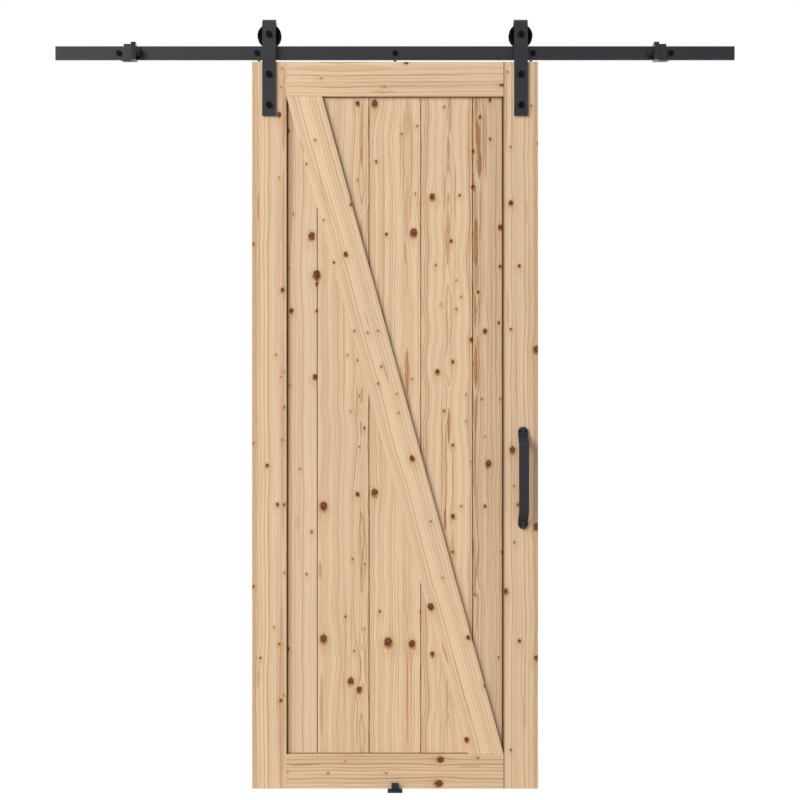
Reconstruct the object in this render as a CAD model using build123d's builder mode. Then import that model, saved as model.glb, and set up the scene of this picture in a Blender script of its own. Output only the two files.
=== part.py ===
from build123d import *

import os
from math import acos, atan2, ceil, cos, hypot

# Sliding barn door: a framed pine leaf hung by two strap hangers from a flat wall rail.
# Millimetres. X runs along the rail, Y points into the wall, Z is up.
# The origin is on the wall face, behind the middle of the rail.

# Wall rail
rail_length = 2000.0
rail_height = 40.0
rail_thickness = 6.0
rail_corner_radius = 1.5
hole_count = 5
hole_spacing = 406.4

# Spacers and the lag screws through them
spacer_length = 40.0
spacer_diameter = 20.0
lag_diameter = 9.5
lag_core_diameter = 8.4
lag_head_across = 14.3
lag_head_height = 5.5
lag_depth_in_wall = 36.0
lag_point_length = 8.0
lag_point_diameter = 2.0
hole_clearance = 0.25
head_turn_step = 17.0
head_flat_inset = 0.45
head_cone_taper = 60.0

# Door leaf
leaf_width = 840.0
leaf_height = 2134.0
leaf_thickness = 35.0
leaf_drop = 9.0
frame_width = 101.0
panel_thickness = 15.0
panel_rim = 7.0
panel_entry = 10.0
groove_depth = 12.0
side_channel = 5.0
end_seam = 2.5
board_width = 152.4
narrowest_board = 20.0
vee_width = 3.6
vee_depth = 3.6
tongue_length = 6.0
tongue_thickness = 4.0
tongue_clearance = 0.4
brace_width = 101.0

# Strap hangers
strap_width = 40.0
strap_thickness = 6.0
strap_gap = 30.0
strap_bend_rise = 27.0
strap_on_leaf = 159.0
strap_back_drop = 20.0
strap_first_bolt = 38.0
strap_bolt_spacing = 90.0

# Grooved wheels
wheel_radius = 35.0
wheel_width = 18.0
flange_depth = 5.3
running_gap = 0.3
groove_play = 1.5
groove_flare = 1.5
rim_chamfer = 1.5
web_thickness = 12.0
web_radius = 24.0
web_slope = 3.0
hub_radius = 11.0
hub_side_gap = 0.3
axle_play = 0.05

# Hanger bolts and nuts
bolt_diameter = 10.0
bolt_head_across = 17.0
bolt_head_height = 6.4
nut_height = 8.0
bolt_past_nut = 2.0

# Pull handle
handle_length = 300.0
handle_width = 29.0
handle_thickness = 6.0
handle_foot = 24.0
handle_leg_run = 30.0
handle_reach = 36.0
handle_bend_radius = 6.0
handle_from_edge = 44.5
handle_above_leaf_bottom = 912.0
handle_end_gap = 0.1
handle_screw_diameter = 4.0
handle_screw_from_end = 13.5
handle_screw_spacing = 15.5
handle_screw_head = 7.0
handle_screw_head_height = 2.2
handle_screw_chamfer = 0.8
handle_screw_length = 32.0

# End stops
stop_bumper_end = 745.0
bumper_length = 15.0
bumper_diameter = 24.0
bumper_chamfer = 3.0
plate_width = 15.0
plate_above = 28.5
plate_below = 24.0
plate_front = 18.0
clamp_width = 22.0
clamp_above = 24.0
clamp_front = 12.0
stop_back = 6.0
stop_fit = 0.25
stop_edge = 1.5

# Floor guide
floor_gap = 8.0
guide_width = 43.5
guide_thickness = 3.0
guide_tab_width = 21.0
guide_tab_cover = 18.0
guide_clearance = 5.0
guide_front_toe = 19.0
guide_back_toe = 12.0
guide_bend_radius = 5.0
guide_screw_diameter = 5.0
guide_screw_head = 9.0
guide_screw_spacing = 28.0

# Places that follow from the sizes above
rail_front = -(spacer_length + rail_thickness)
rail_middle = -(spacer_length + rail_thickness / 2)
leaf_front = rail_middle - strap_gap / 2
leaf_back = leaf_front + leaf_thickness
strap_front = leaf_front - strap_thickness
strap_back = rail_middle + strap_gap / 2 + strap_thickness
panel_middle = (leaf_front + leaf_back) / 2
panel_front = panel_middle - panel_thickness / 2
panel_back = panel_middle + panel_thickness / 2
leaf_top = -rail_height / 2 - leaf_drop
leaf_bottom = leaf_top - leaf_height
opening_top = leaf_top - frame_width
opening_bottom = leaf_bottom + frame_width
opening_middle = (opening_top + opening_bottom) / 2
opening_height = opening_top - opening_bottom
opening_half = leaf_width / 2 - frame_width
tread_radius = wheel_radius - flange_depth
wheel_height = rail_height / 2 + running_gap + tread_radius
strap_x = leaf_width / 2 - frame_width / 2
strap_bolt_heights = (
    leaf_top - strap_first_bolt,
    leaf_top - strap_first_bolt - strap_bolt_spacing,
)
handle_x = leaf_width / 2 - handle_from_edge
handle_middle = leaf_bottom + handle_above_leaf_bottom
handle_screw_offset = handle_length / 2 - handle_screw_from_end
handle_screw_places = [
    (handle_x + across * handle_screw_spacing / 2, handle_middle + end * handle_screw_offset)
    for across in (-1, 1)
    for end in (-1, 1)
]
floor = leaf_bottom - floor_gap
hole_places = [(i - (hole_count - 1) / 2) * hole_spacing for i in range(hole_count)]
SIDES = (("left", -1), ("right", 1))


def write(builder, node):
    """Label a finished piece and write its file."""
    builder.part.label = node
    export_step(builder.part, f"parts/{node}.step")


def facing(y):
    """Sketch plane at depth y: X to the right, Z up, pulling towards the room."""
    return Plane.XZ.offset(-y)


def make_rail():
    with BuildPart() as rail:
        with BuildSketch(facing(-spacer_length)):
            RectangleRounded(rail_length, rail_height, rail_corner_radius)
            with Locations(*[(x, 0) for x in hole_places]):
                Circle(lag_diameter / 2 + hole_clearance, mode=Mode.SUBTRACT)
        extrude(amount=rail_thickness)
    write(rail, "wall_rail")


def make_spacer(number, x):
    with BuildPart() as spacer:
        with BuildSketch(facing(0)):
            with Locations((x, 0)):
                Circle(spacer_diameter / 2)
                Circle(lag_diameter / 2 + hole_clearance, mode=Mode.SUBTRACT)
        extrude(amount=spacer_length)
    write(spacer, f"spacer_{number}")


def make_lag_screw(number, x):
    """Hexagon head on the rail, plain shank to the wall face, thinner threaded end beyond it."""
    shank_radius = lag_diameter / 2
    core_radius = lag_core_diameter / 2
    taper_start = lag_depth_in_wall - lag_point_length
    with BuildPart() as screw:
        with BuildSketch(facing(rail_front)):
            with Locations((x, 0)):
                RegularPolygon(lag_head_across / 2, 6, major_radius=False, rotation=number * head_turn_step)
        extrude(amount=lag_head_height)
        with BuildSketch(facing(rail_front - lag_head_height)):
            with Locations((x, 0)):
                Circle(lag_head_across / 2 - head_flat_inset)
        extrude(amount=-lag_head_height, taper=-head_cone_taper, mode=Mode.INTERSECT)
        with BuildSketch(Plane.YZ.offset(x)):
            with BuildLine():
                Polyline(
                    (rail_front, 0),
                    (rail_front, shank_radius),
                    (0, shank_radius),
                    (0, core_radius),
                    (taper_start, core_radius),
                    (lag_depth_in_wall, lag_point_diameter / 2),
                    (lag_depth_in_wall, 0),
                    close=True,
                )
            make_face()
        revolve(axis=Axis((x, 0, 0), (0, 1, 0)))
    write(screw, f"lag_screw_{number}")


def make_stop(side, sign):
    """End stop: a collar on the rail, a taller plate and a rubber bumper facing the strap."""
    slot_height = rail_height + 2 * stop_fit
    slot_depth = rail_thickness + 2 * stop_fit
    slot_plane = facing(stop_fit - spacer_length)
    back_plane = facing(stop_back - spacer_length)
    plate_start = stop_bumper_end + bumper_length
    plate_x = sign * (plate_start + plate_width / 2)
    clamp_x = sign * (plate_start + plate_width + clamp_width / 2)
    bumper_y = rail_front - bumper_diameter / 2

    with BuildPart() as clamp:
        with BuildSketch(back_plane):
            with Locations((clamp_x, 0)):
                Rectangle(clamp_width, 2 * clamp_above)
        extrude(amount=stop_back + rail_thickness + clamp_front)
        chamfer(clamp.edges().filter_by(Axis.X), length=stop_edge)
        with BuildSketch(slot_plane):
            with Locations((clamp_x, 0)):
                Rectangle(clamp_width, slot_height)
        extrude(amount=slot_depth, mode=Mode.SUBTRACT)
    write(clamp, f"{side}_stop_clamp")

    with BuildPart() as plate:
        with BuildSketch(back_plane):
            with Locations((plate_x, (plate_above - plate_below) / 2)):
                Rectangle(plate_width, plate_above + plate_below)
        extrude(amount=stop_back + rail_thickness + plate_front)
        fillet(plate.edges().filter_by(Axis.X), radius=stop_edge)
        with BuildSketch(slot_plane):
            with Locations((plate_x, 0)):
                Rectangle(plate_width, slot_height)
        extrude(amount=slot_depth, mode=Mode.SUBTRACT)
    write(plate, f"{side}_stop_plate")

    with BuildPart() as bumper:
        with BuildSketch(Plane.YZ.offset(sign * plate_start)):
            with Locations((bumper_y, 0)):
                Circle(bumper_diameter / 2)
        extrude(amount=-sign * bumper_length)
        nose = bumper.faces().filter_by(GeomType.PLANE).sort_by(Axis.X)[0 if sign > 0 else -1]
        chamfer(nose.edges(), length=bumper_chamfer)
    write(bumper, f"{side}_stop_bumper")


def make_stile(side, sign):
    """Full-height frame member, grooved along its inner edge and drilled for what it carries."""
    screw_depth = handle_screw_length - handle_thickness
    with BuildPart() as stile:
        with BuildSketch(Plane.XY.offset(leaf_bottom)):
            with Locations((sign * strap_x, panel_middle)):
                Rectangle(frame_width, leaf_thickness)
            with Locations((sign * (opening_half + groove_depth / 2), panel_middle)):
                Rectangle(groove_depth, panel_rim, mode=Mode.SUBTRACT)
        extrude(amount=leaf_height)
        with BuildSketch(facing(leaf_back)):
            with Locations(*[(sign * strap_x, z) for z in strap_bolt_heights]):
                Circle(bolt_diameter / 2 + hole_clearance)
        extrude(amount=leaf_thickness, mode=Mode.SUBTRACT)
        if sign > 0:
            with BuildSketch(facing(leaf_front + screw_depth + hole_clearance)):
                with Locations(*handle_screw_places):
                    Circle(handle_screw_diameter / 2 + hole_clearance)
            extrude(amount=screw_depth + hole_clearance, mode=Mode.SUBTRACT)
    write(stile, f"{side}_stile")


def make_cross_rail(node, middle, inward):
    """Frame member between the stiles, grooved for the panel, with a stub tenon at each end."""
    groove_z = middle + inward * (frame_width - groove_depth) / 2
    tenon_z = middle - inward * groove_depth / 2
    with BuildPart() as member:
        with BuildSketch(Plane.YZ.offset(-opening_half)):
            with Locations((panel_middle, middle)):
                Rectangle(leaf_thickness, frame_width)
            with Locations((panel_middle, groove_z)):
                Rectangle(panel_rim, groove_depth, mode=Mode.SUBTRACT)
        extrude(amount=2 * opening_half)
        with BuildSketch(Plane.YZ.offset(-opening_half - panel_entry)):
            with Locations((panel_middle, tenon_z)):
                Rectangle(panel_rim, frame_width - groove_depth)
        extrude(amount=2 * (opening_half + panel_entry))
    write(member, node)


def make_panel_boards():
    """Upright tongue-and-groove boards with a vee at each joint, rebated to enter the frame.

    The outer two are ripped to fit and stop short of the stiles, which leaves an open channel.
    """
    panel_half = opening_half + panel_entry
    shoulder_half = opening_half - side_channel
    side_boards = ceil((shoulder_half - narrowest_board - board_width / 2) / board_width)
    joints = [(i + 0.5) * board_width for i in range(-side_boards, side_boards)]
    edges = [-panel_half, *joints, panel_half]
    slot_length = tongue_length + tongue_clearance
    slot_thickness = tongue_thickness + 2 * tongue_clearance
    vee = [(-vee_width / 2, 0), (vee_width / 2, 0), (0, vee_depth)]
    for number, (left, right) in enumerate(zip(edges, edges[1:]), start=1):
        left_shoulder = max(left, -shoulder_half)
        right_shoulder = min(right, shoulder_half)
        with BuildPart() as board:
            with BuildSketch(Plane.XY.offset(opening_bottom - panel_entry)):
                with Locations(((left_shoulder + right_shoulder) / 2, panel_middle)):
                    Rectangle(right_shoulder - left_shoulder, panel_thickness)
                with Locations(((left + right) / 2, panel_middle)):
                    Rectangle(right - left, panel_rim)
                for x in [edge for edge in (left, right) if edge in joints]:
                    with Locations((x, panel_front)):
                        Polygon(*vee, align=None, mode=Mode.SUBTRACT)
                    with Locations((x, panel_back)):
                        Polygon(*vee, rotation=180, align=None, mode=Mode.SUBTRACT)
                if right in joints:
                    with Locations((right + tongue_length / 2, panel_middle)):
                        Rectangle(tongue_length, tongue_thickness)
                if left in joints:
                    with Locations((left + slot_length / 2, panel_middle)):
                        Rectangle(slot_length, slot_thickness, mode=Mode.SUBTRACT)
            extrude(amount=opening_height + 2 * panel_entry)
            with BuildSketch(Plane.YZ.offset(left)):
                with Locations((panel_middle, opening_middle)):
                    Rectangle(panel_thickness, opening_height - 2 * end_seam)
                    Rectangle(panel_rim, opening_height + 2 * panel_entry)
            extrude(amount=right + tongue_length - left, mode=Mode.INTERSECT)
        write(board, f"panel_board_{number}")


def make_brace():
    """Diagonal board, flush with the frame, from the top left inner corner to the bottom right one."""
    run = 2 * opening_half
    lean = acos(brace_width / hypot(run, opening_height)) - atan2(opening_height, run)
    end = brace_width / cos(lean)
    with BuildPart() as brace:
        with BuildSketch(facing(panel_front)):
            with BuildLine():
                Polyline(
                    (-opening_half, opening_top),
                    (-opening_half + end, opening_top),
                    (opening_half, opening_bottom),
                    (opening_half - end, opening_bottom),
                    close=True,
                )
            make_face()
        extrude(amount=panel_front - leaf_front)
    write(brace, "diagonal_brace")


def make_strap(side, sign):
    """Flat bar on the leaf, bent over the wheel and down again behind it."""
    bend_start = wheel_height + strap_bend_rise
    back_face = rail_middle + strap_gap / 2
    with BuildPart() as strap:
        with BuildSketch(Plane.YZ.offset(sign * strap_x - strap_width / 2)):
            with BuildLine():
                Line((leaf_front, leaf_top - strap_on_leaf), (leaf_front, bend_start))
                ThreePointArc(
                    (leaf_front, bend_start),
                    (rail_middle, bend_start + strap_gap / 2),
                    (back_face, bend_start),
                )
                Line((back_face, bend_start), (back_face, wheel_height - strap_back_drop))
                offset(amount=strap_thickness, side=Side.LEFT)
            make_face()
        extrude(amount=strap_width)
        with BuildSketch(facing(strap_back)):
            with Locations((sign * strap_x, wheel_height)):
                Circle(bolt_diameter / 2 + hole_clearance)
        extrude(amount=strap_back - strap_front, mode=Mode.SUBTRACT)
        with BuildSketch(facing(leaf_front)):
            with Locations(*[(sign * strap_x, z) for z in strap_bolt_heights]):
                Circle(bolt_diameter / 2 + hole_clearance)
        extrude(amount=strap_thickness, mode=Mode.SUBTRACT)
    write(strap, f"{side}_strap")


def make_wheel(side, sign):
    """Wheel turned with a flared groove for the rail, dished sides and a hub that fills the strap's gap."""
    x = sign * strap_x
    half = wheel_width / 2
    hub_half = strap_gap / 2 - hub_side_gap
    root_half = rail_thickness / 2 + groove_play
    mouth_half = root_half + groove_flare
    bore_radius = bolt_diameter / 2 + axle_play
    section_plane = Plane((x, rail_middle, wheel_height), x_dir=(0, 1, 0), z_dir=(1, 0, 0))
    with BuildPart() as wheel:
        with BuildSketch(section_plane) as section:
            with BuildLine():
                Polyline(
                    (0, bore_radius),
                    (hub_half, bore_radius),
                    (hub_half, hub_radius),
                    (web_thickness / 2, hub_radius),
                    (web_thickness / 2, web_radius),
                    (half, web_radius + web_slope),
                    (half, wheel_radius),
                    (mouth_half, wheel_radius),
                    (root_half, tread_radius),
                    (0, tread_radius),
                    close=True,
                )
            make_face()
            chamfer(section.vertices().group_by(Axis.Y)[-1].sort_by(Axis.X)[-1], length=rim_chamfer)
            mirror(about=Plane.YZ)
        revolve(axis=Axis((x, rail_middle, wheel_height), (0, 1, 0)))
    write(wheel, f"{side}_wheel")


def make_bolts(node, places, head_seat, nut_seat, turn):
    """Hexagon bolts with their heads to the room, long enough to pass through their nuts."""
    with BuildPart() as bolts:
        with BuildSketch(facing(head_seat)):
            with Locations(*places):
                RegularPolygon(bolt_head_across / 2, 6, major_radius=False, rotation=turn)
        extrude(amount=bolt_head_height)
        with BuildSketch(facing(head_seat - bolt_head_height)):
            with Locations(*places):
                Circle(bolt_head_across / 2 - head_flat_inset)
        extrude(amount=-bolt_head_height, taper=-head_cone_taper, mode=Mode.INTERSECT)
        with BuildSketch(facing(nut_seat + nut_height + bolt_past_nut)):
            with Locations(*places):
                Circle(bolt_diameter / 2)
        extrude(amount=nut_seat + nut_height + bolt_past_nut - head_seat)
    write(bolts, node)


def make_nuts(node, places, nut_seat, turn):
    with BuildPart() as nuts:
        with BuildSketch(facing(nut_seat + nut_height)):
            with Locations(*places):
                RegularPolygon(bolt_head_across / 2, 6, major_radius=False, rotation=turn)
        extrude(amount=nut_height)
        with BuildSketch(facing(nut_seat + nut_height)):
            with Locations(*places):
                Circle(bolt_head_across / 2 - head_flat_inset)
        extrude(amount=nut_height, taper=-head_cone_taper, mode=Mode.INTERSECT)
        with BuildSketch(facing(nut_seat + nut_height)):
            with Locations(*places):
                Circle(bolt_diameter / 2 + hole_clearance)
        extrude(amount=nut_height, mode=Mode.SUBTRACT)
    write(nuts, node)


def make_handle():
    """Flat bar pull: two round-ended feet on the stile and a grip standing clear of it."""
    half = handle_length / 2
    foot_end = half - handle_foot
    grip_end = foot_end - handle_leg_run
    grip_back = leaf_front - handle_reach
    route = [
        (leaf_front, handle_middle - half),
        (leaf_front, handle_middle - foot_end),
        (grip_back, handle_middle - grip_end),
        (grip_back, handle_middle + grip_end),
        (leaf_front, handle_middle + foot_end),
        (leaf_front, handle_middle + half),
    ]
    with BuildPart() as handle:
        with BuildSketch(Plane.YZ.offset(handle_x - handle_width / 2)):
            with BuildLine():
                FilletPolyline(*route, radius=handle_bend_radius)
                offset(amount=handle_thickness, side=Side.LEFT)
            make_face()
        extrude(amount=handle_width)
        ends = handle.edges().filter_by(Axis.Y).group_by(Axis.Z)
        fillet(ends[0] + ends[-1], radius=handle_width / 2 - handle_end_gap)
        with BuildSketch(facing(leaf_front)):
            with Locations(*handle_screw_places):
                Circle(handle_screw_diameter / 2 + hole_clearance)
        extrude(amount=handle_thickness, mode=Mode.SUBTRACT)
    write(handle, "pull_handle")

    head_seat = leaf_front - handle_thickness
    with BuildPart() as screws:
        with BuildSketch(facing(head_seat)):
            with Locations(*handle_screw_places):
                Circle(handle_screw_head / 2)
        extrude(amount=handle_screw_head_height)
        chamfer(screws.faces().group_by(Axis.Y)[0].edges(), length=handle_screw_chamfer)
        with BuildSketch(facing(head_seat + handle_screw_length)):
            with Locations(*handle_screw_places):
                Circle(handle_screw_diameter / 2)
        extrude(amount=handle_screw_length)
    write(screws, "handle_screws")


def make_floor_guide():
    """Base plate on the floor with an angle tab in front of the leaf and another behind it."""
    base_top = floor + guide_thickness
    tab_top = leaf_bottom + guide_tab_cover
    front_face = leaf_front - guide_clearance
    back_face = leaf_back + guide_clearance
    base_front = front_face - guide_front_toe
    base_back = back_face + guide_back_toe
    base_middle = (base_front + base_back) / 2

    with BuildPart() as base:
        with BuildSketch(Plane.XY.offset(floor)):
            with Locations((0, base_middle)):
                Rectangle(guide_width, base_back - base_front)
        extrude(amount=guide_thickness)
        with Locations(Plane((0, panel_middle, base_top))):
            with GridLocations(0, guide_screw_spacing, 1, 2):
                CounterSinkHole(guide_screw_diameter / 2, guide_screw_head / 2)
    write(base, "floor_guide_base")

    tabs = (
        ("front", base_front, front_face, Side.LEFT),
        ("back", base_back, back_face, Side.RIGHT),
    )
    for name, toe, face, outward in tabs:
        with BuildPart() as tab:
            with BuildSketch(Plane.YZ.offset(-guide_tab_width / 2)):
                with BuildLine():
                    FilletPolyline(
                        (toe, base_top),
                        (face, base_top),
                        (face, tab_top),
                        radius=guide_bend_radius,
                    )
                    offset(amount=guide_thickness, side=outward)
                make_face()
            extrude(amount=guide_tab_width)
        write(tab, f"floor_guide_{name}_tab")


os.makedirs("parts", exist_ok=True)

make_rail()
for number, x in enumerate(hole_places, start=1):
    make_spacer(number, x)
    make_lag_screw(number, x)

make_cross_rail("top_rail", leaf_top - frame_width / 2, -1)
make_cross_rail("bottom_rail", leaf_bottom + frame_width / 2, 1)
make_panel_boards()
make_brace()

for side, sign in SIDES:
    axle_place = [(sign * strap_x, wheel_height)]
    bolt_places = [(sign * strap_x, z) for z in strap_bolt_heights]
    make_stop(side, sign)
    make_stile(side, sign)
    make_strap(side, sign)
    make_wheel(side, sign)
    make_bolts(f"{side}_axle_bolt", axle_place, strap_front, strap_back, head_turn_step)
    make_nuts(f"{side}_axle_nut", axle_place, strap_back, -head_turn_step)
    make_bolts(f"{side}_strap_bolts", bolt_places, strap_front, leaf_back, -sign * head_turn_step)
    make_nuts(f"{side}_strap_nuts", bolt_places, leaf_back, sign * head_turn_step)

make_handle()
make_floor_guide()
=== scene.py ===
from dataclasses import dataclass, field
from math import atan2, cos, pi, radians, sin, tau

import bpy
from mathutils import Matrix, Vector


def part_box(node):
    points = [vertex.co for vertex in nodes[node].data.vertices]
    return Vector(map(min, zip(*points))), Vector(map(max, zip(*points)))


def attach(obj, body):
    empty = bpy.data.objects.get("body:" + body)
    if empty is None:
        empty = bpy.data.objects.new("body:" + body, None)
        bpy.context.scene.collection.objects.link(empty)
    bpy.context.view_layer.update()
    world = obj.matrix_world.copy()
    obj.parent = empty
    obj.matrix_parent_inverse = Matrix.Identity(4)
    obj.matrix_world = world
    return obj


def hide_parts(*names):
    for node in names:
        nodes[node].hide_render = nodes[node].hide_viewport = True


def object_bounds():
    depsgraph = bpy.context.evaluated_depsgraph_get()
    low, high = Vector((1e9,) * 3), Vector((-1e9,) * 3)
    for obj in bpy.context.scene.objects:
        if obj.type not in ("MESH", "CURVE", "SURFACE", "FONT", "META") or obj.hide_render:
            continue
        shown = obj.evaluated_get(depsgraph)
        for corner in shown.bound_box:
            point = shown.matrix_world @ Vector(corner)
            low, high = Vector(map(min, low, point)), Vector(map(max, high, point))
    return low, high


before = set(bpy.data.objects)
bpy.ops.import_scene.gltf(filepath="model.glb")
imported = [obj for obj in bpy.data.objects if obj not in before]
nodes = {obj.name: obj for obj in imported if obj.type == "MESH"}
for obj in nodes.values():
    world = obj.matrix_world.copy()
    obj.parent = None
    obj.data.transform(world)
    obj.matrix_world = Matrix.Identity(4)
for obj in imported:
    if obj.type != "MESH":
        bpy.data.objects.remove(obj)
cad_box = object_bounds()

MM = 0.001
WOOD_FRAME = ("left_stile", "right_stile", "top_rail", "bottom_rail")

# Places taken from the frame
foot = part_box("left_stile")[0].z
floor_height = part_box("floor_guide_base")[0].z
rail_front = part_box("wall_rail")[0].y


def srgb(red, green, blue):
    """A colour as seen on screen, 0 to 255, as the linear values that shaders take."""
    parts = [c / 255 for c in (red, green, blue)]
    linear = [c / 12.92 if c <= 0.04045 else ((c + 0.055) / 1.055) ** 2.4 for c in parts]
    return (*linear, 1.0)


def grey(value):
    """A linear grey."""
    return (value, value, value, 1.0)


# Shader nodes

class Tree:
    """Short forms for adding shader nodes and linking them."""

    def __init__(self, tree):
        self.tree = tree

    def feed(self, socket, value):
        if isinstance(value, bpy.types.NodeSocket):
            self.tree.links.new(value, socket)
        else:
            socket.default_value = value

    def node(self, kind, inputs=None, **settings):
        made = self.tree.nodes.new(kind)
        for name, value in settings.items():
            setattr(made, name, value)
        for socket, value in (inputs or {}).items():
            self.feed(made.inputs[socket], value)
        return made

    def math(self, operation, *values, clamp=False):
        given = dict(enumerate(values))
        return self.node("ShaderNodeMath", given, operation=operation, use_clamp=clamp).outputs[0]

    def dot(self, vector, direction):
        given = {0: vector, 1: direction}
        return self.node("ShaderNodeVectorMath", given, operation="DOT_PRODUCT").outputs["Value"]

    def join(self, x, y, z):
        return self.node("ShaderNodeCombineXYZ", {"X": x, "Y": y, "Z": z}).outputs[0]

    def noise(self, vector, scale=1.0, detail=2.0, roughness=0.5):
        given = {"Vector": vector, "Scale": scale, "Detail": detail, "Roughness": roughness}
        return self.node("ShaderNodeTexNoise", given, noise_dimensions="3D").outputs[0]

    def noise_along(self, value, detail=2.0):
        given = {"W": value, "Scale": 1.0, "Detail": detail, "Roughness": 0.5}
        return self.node("ShaderNodeTexNoise", given, noise_dimensions="1D").outputs[0]

    def about_zero(self, noise):
        return self.math("SUBTRACT", noise, 0.5)

    def ease(self, value, start, end, low=0.0, high=1.0):
        """A smooth step from low at start to high at end."""
        given = {0: value, 1: start, 2: end, 3: low, 4: high}
        return self.node("ShaderNodeMapRange", given, interpolation_type="SMOOTHSTEP").outputs[0]

    def mix(self, factor, first, second, blend="MIX"):
        given = {0: factor, 6: first, 7: second}
        return self.node("ShaderNodeMix", given, data_type="RGBA", blend_type=blend).outputs[2]

    def shaded(self, colour, shade):
        """A colour times a shade, where 1 leaves it as it is."""
        return self.mix(1.0, colour, self.join(shade, shade, shade), blend="MULTIPLY")

    def ramp(self, value, stops):
        made = self.node("ShaderNodeValToRGB", {0: value})
        elements = made.color_ramp.elements
        for element, (place, colour) in zip(elements, (stops[0], stops[-1])):
            element.position = place
            element.color = colour
        for place, colour in stops[1:-1]:
            elements.new(place).color = colour
        return made.outputs[0]

    def bump(self, height, distance, strength):
        given = {"Height": height, "Distance": distance, "Strength": strength}
        return self.node("ShaderNodeBump", given).outputs[0]


def new_group(name, inputs, outputs):
    group = bpy.data.node_groups.new(name, "ShaderNodeTree")
    for socket in inputs:
        group.interface.new_socket(socket, in_out="INPUT", socket_type="NodeSocketFloat")
    for socket in outputs:
        group.interface.new_socket(socket, in_out="OUTPUT", socket_type="NodeSocketFloat")
    tree = Tree(group)
    return group, tree, tree.node("NodeGroupInput").outputs, tree.node("NodeGroupOutput").inputs


def new_material(name):
    material = bpy.data.materials.new(name)
    material.use_nodes = True
    material.node_tree.nodes.clear()
    tree = Tree(material.node_tree)
    shader = tree.node("ShaderNodeBsdfPrincipled")
    output = tree.node("ShaderNodeOutputMaterial")
    tree.feed(output.inputs["Surface"], shader.outputs[0])
    return material, tree, shader.inputs


# Pine: colours

EARLY_WOOD = srgb(234, 204, 168)
LATE_WOOD = srgb(168, 112, 62)
HEART_WOOD = srgb(172, 120, 74)
# Painted shade: a dark colour that stands in for the shadow in crevices and joints
CREVICE_SHADE_COLOUR = srgb(116, 74, 50)

# Colours of a knot, and how far they cover the wood, by the distance outward from the rim of its dark core.
# The distance is in steps that grow with the knot.
KNOT_REACH = (-5.0, 11.0)
KNOT_COLOURS = (
    (-5.0, srgb(136, 90, 72)),
    (-2.2, srgb(106, 60, 44)),
    (-0.5, srgb(76, 40, 26)),
    (0.4, srgb(132, 80, 46)),
    (1.5, srgb(172, 118, 70)),
    (3.0, srgb(202, 154, 104)),
)
KNOT_COVER = (
    (-5.0, 1.0), (0.8, 1.0), (1.6, 0.88), (2.6, 0.6), (3.6, 0.34),
    (4.6, 0.14), (5.6, 0.36), (6.6, 0.08), (8.0, 0.2), (11.0, 0.0),
)

# Pine: form of the knots, in millimetres and in shares of a knot's radius
KNOT_CORE = 0.85
KNOT_RIM = 1.9
KNOT_STEP = 0.7
KNOT_STEP_GROWTH = 0.1
KNOT_STRETCH = 1.2
KNOT_LEAN = 0.45
KNOT_CENTRE = 0.1
KNOT_VARIETY = 0.15
KNOT_RAGGED = 7.0
KNOT_EDGE = (1.2, -0.4)
NO_KNOT = 100.0
SWIRL_WIDTH = 2.0
SWIRL_LENGTH = 4.5
SWIRL_PUSH = 0.85

# Pine: sizes of the figure, across and along the grain in millimetres
DRIFT_SIZE = (80.0, 520.0)
RIPPLE_SIZE = (11.0, 75.0)
FIBRE_SIZE = (3.0, 260.0)
MOTTLE_SIZE = (6.0, 8.0)
FLICKER_SIZE = (26.0, 42.0)
RIPPLE_PUSH = 1.0
FLICKER_PUSH = 9.0
WANDER_RATE = 0.006
TAPER_RATE = 0.003

# Pine: growth rings, which differ in width and in their share of late wood from year to year
YEAR_RATE = 0.6
LATE_SHARPNESS = 4.5
LATE_LEAST = 0.1
LATE_SPREAD = 0.95
BAND_RATE = 0.28
BAND_EDGE = (0.35, 0.7)
BAND_SHARE = 0.2

# Pine: where each kind of noise is read, times the board's number, so that no two boards are alike
YEAR_SEED = 17.3
RIPPLE_SEED = 7.7
TAPER_SEED = 5.3
WANDER_SEED = 3.9
FLICKER_SEED = 3.1

# Pine: shade, painted shade in the crevices, and surface
STREAK_FULLNESS = 2.2
HEART_FIBRE = 2.6
FIBRE_SHADE = 0.28
DRIFT_SHADE = 0.16
# Painted shade in the crevices: how strong it is, and the depth or width over which it sets in
CREVICE_SHADE_SHARE = 0.8
JOINT_SHADE_DEPTH = (0.3, 1.8)
BRACE_SIDE_SHADE_DEPTH = (0.8, 2.5)
STILE_EDGE_SHADE_WIDTH = 3.5
WOOD_ROUGHNESS = 0.6
KNOT_POLISH = 0.14
WOOD_SPECULAR = 0.3
LATE_RELIEF = 0.4
WOOD_RELIEF = 0.25 * MM
WOOD_BUMP = 0.5


@dataclass
class Board:
    """One board's figure. Places are millimetres right of the leaf's middle and above its foot.

    Rings lie round the pith, at pith_depth behind the wall face; a point under 2 makes the flames pointed.
    Ring is the width of one year's growth, figure how strongly the rings show, tone the board's own shade.
    Sway, taper and wander are how far the grain, the pith's depth and the pith's place vary.
    """

    grain: str = "upright"
    pith: tuple = (0, 0)
    pith_depth: float = 20
    ring: float = 6.0
    sway: float = 3.0
    taper: float = 20.0
    wander: float = 0.0
    point: float = 2.0
    figure: float = 1.0
    tone: float = 1.0
    knots: list = field(default_factory=list)
    streaks: list = field(default_factory=list)


# Radii of the two common kinds of small knot
PIN = 2.8
KNOT = 4.6

# Knots that lie across a joint, and so show on two boards
JOINT_1_KNOTS = [(-230, 1510, 11), (-230, 1485, 5), (-230, 1405, KNOT)]
JOINT_4_KNOTS = [(230, 1875, KNOT), (230, 1770, 7), (225, 1320, 6), (225, 960, PIN)]

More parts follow.
